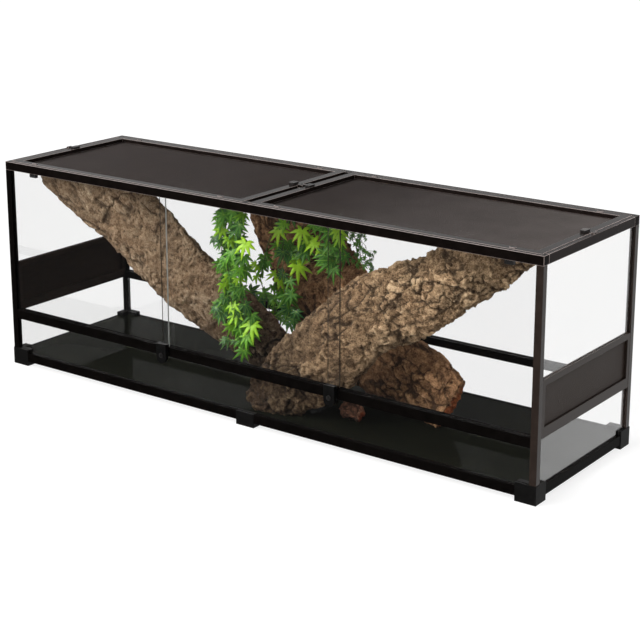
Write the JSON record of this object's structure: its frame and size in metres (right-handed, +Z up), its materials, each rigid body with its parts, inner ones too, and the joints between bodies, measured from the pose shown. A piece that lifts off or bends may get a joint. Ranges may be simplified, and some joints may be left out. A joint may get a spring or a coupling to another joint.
{
  "type": "reptile terrarium",
  "caption": "Long glazed terrarium with sliding front doors, lift-off mesh lids, side vent windows, door locks, cork bark slabs and hanging vines.",
  "frame": {"origin": "on the ground under the middle of the bar frame", "axes": "+X along the length, to the right seen from the doors; -Y out of the doors; +Z up"},
  "size_m": [1.803, 0.515, 0.632],
  "materials": {
    "foot_plastic": "fine matt moulding",
    "bar_metal": "black anodised, satin",
    "floor_sheet": "glossy black-grey sheet",
    "clear_glass": "clear float glass",
    "vent_metal": "black anodised, satin",
    "mesh_metal": "black-brown coated wire mesh",
    "door_glass": "clear float glass with ground edges",
    "stop_plastic": "black moulding",
    "lock_case": "black moulding",
    "lock_steel": "satin steel",
    "lid_metal": "brown-black anodised, satin",
    "latch_plastic": "dark, with light edges",
    "cork_bark": "rough cork bark",
    "root_wood": "reddish root",
    "vine_green": "artificial leaves, light and dark green"
  },
  "bodies": {
    "tank": {"foot_front_left": "foot_plastic", "foot_front_right": "foot_plastic", "foot_back_left": "foot_plastic", "foot_back_right": "foot_plastic", "foot_mid_front": "foot_plastic", "foot_mid_back": "foot_plastic", "base_rail_front_left": "bar_metal", "base_rail_front_right": "bar_metal", "base_rail_back_left": "bar_metal", "base_rail_back_right": "bar_metal", "base_rail_left": "bar_metal", "base_rail_right": "bar_metal", "post_front_left": "bar_metal", "post_front_right": "bar_metal", "post_back_left": "bar_metal", "post_back_right": "bar_metal", "top_rail_front": "bar_metal", "top_rail_back": "bar_metal", "top_rail_left": "bar_metal", "top_rail_right": "bar_metal", "top_beam": "bar_metal", "door_rail": "bar_metal", "back_rail": "bar_metal", "floor_panel": "floor_sheet", "glass_front_lower": "clear_glass", "glass_back_lower": "clear_glass", "glass_back_upper": "clear_glass", "glass_left_lower": "clear_glass", "glass_left_upper": "clear_glass", "glass_right_lower": "clear_glass", "glass_right_upper": "clear_glass", "vent_frame_left": "vent_metal", "vent_frame_right": "vent_metal", "vent_mesh_left": "mesh_metal", "vent_mesh_right": "mesh_metal", "door_stops": "stop_plastic", "lock_body_left": "lock_case", "lock_body_right": "lock_case", "bark_left": "cork_bark", "bark_front": "cork_bark", "bark_rear": "cork_bark", "bark_small": "root_wood", "vine_middle": "vine_green"},
    "door_left": {"door_left": "door_glass"},
    "door_middle": {"door_middle": "door_glass"},
    "door_right": {"door_right": "door_glass"},
    "lock_left": {"lock_barrel_left": "lock_steel"},
    "lock_right": {"lock_barrel_right": "lock_steel"},
    "lid_left": {"lid_frame_left": "lid_metal", "lid_mesh_left": "mesh_metal", "vine_left": "vine_green"},
    "lid_right": {"lid_frame_right": "lid_metal", "lid_mesh_right": "mesh_metal", "vine_back": "vine_green", "vine_right": "vine_green"},
    "latch_left_outer": {"latch_left_outer": "latch_plastic"},
    "latch_left_inner": {"latch_left_inner": "latch_plastic"},
    "latch_right_inner": {"latch_right_inner": "latch_plastic"},
    "latch_right_outer": {"latch_right_outer": "latch_plastic"}
  },
  "joints": [
    {"name": "door_left_slide", "type": "slide", "parent": "tank", "child": "door_left", "axis": [1, 0, 0], "range_m": [0, 0.55]},
    {"name": "door_middle_slide", "type": "slide", "parent": "tank", "child": "door_middle", "axis": [1, 0, 0], "range_m": [-0.48, 0.48]},
    {"name": "door_right_slide", "type": "slide", "parent": "tank", "child": "door_right", "axis": [1, 0, 0], "range_m": [-0.55, 0]},
    {"name": "lock_left_turn", "type": "hinge", "parent": "tank", "child": "lock_left", "pos_m": [-0.291, -0.255, 0.1475], "axis": [0, 1, 0], "range_deg": [0, 90]},
    {"name": "lock_right_turn", "type": "hinge", "parent": "tank", "child": "lock_right", "pos_m": [0.291, -0.255, 0.1475], "axis": [0, 1, 0], "range_deg": [0, 90]},
    {"name": "lid_left_lift", "type": "slide", "parent": "tank", "child": "lid_left", "axis": [0, 0, 1], "range_m": [0, 0.3]},
    {"name": "lid_right_lift", "type": "slide", "parent": "tank", "child": "lid_right", "axis": [0, 0, 1], "range_m": [0, 0.3]},
    {"name": "latch_left_outer_slide", "type": "slide", "parent": "lid_left", "child": "latch_left_outer", "axis": [-1, 0, 0], "range_m": [0, 0.008]},
    {"name": "latch_left_inner_slide", "type": "slide", "parent": "lid_left", "child": "latch_left_inner", "axis": [1, 0, 0], "range_m": [0, 0.008]},
    {"name": "latch_right_inner_slide", "type": "slide", "parent": "lid_right", "child": "latch_right_inner", "axis": [-1, 0, 0], "range_m": [0, 0.008]},
    {"name": "latch_right_outer_slide", "type": "slide", "parent": "lid_right", "child": "latch_right_outer", "axis": [1, 0, 0], "range_m": [0, 0.008]}
  ]
}
